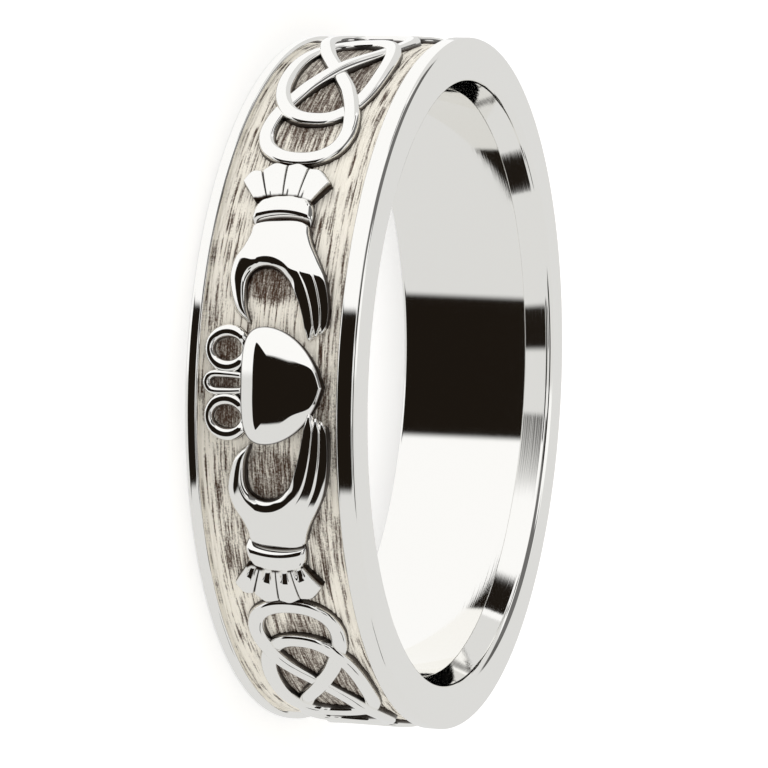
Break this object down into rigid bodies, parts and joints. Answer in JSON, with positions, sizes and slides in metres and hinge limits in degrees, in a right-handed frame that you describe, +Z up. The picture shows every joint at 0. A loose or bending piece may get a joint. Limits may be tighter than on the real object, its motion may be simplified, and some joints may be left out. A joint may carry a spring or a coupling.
{
  "type": "claddagh ring",
  "caption": "Flat silver finger ring with raised rims, a sunk channel, a heart held by two hands under a crown, and woven knots round the rest.",
  "frame": {"origin": "middle of the lower side face, on the surface that the ring lies on", "axes": "+Z up, along the finger hole; -Y out through the heart; +X towards the picture's lower hand, and the crown points down"},
  "size_m": [0.0216, 0.0217, 0.0052],
  "materials": {
    "silver": "polished sterling silver, with a darker lined ground in the channel"
  },
  "bodies": {
    "root": {"ring": "silver"}
  },
  "joints": []
}
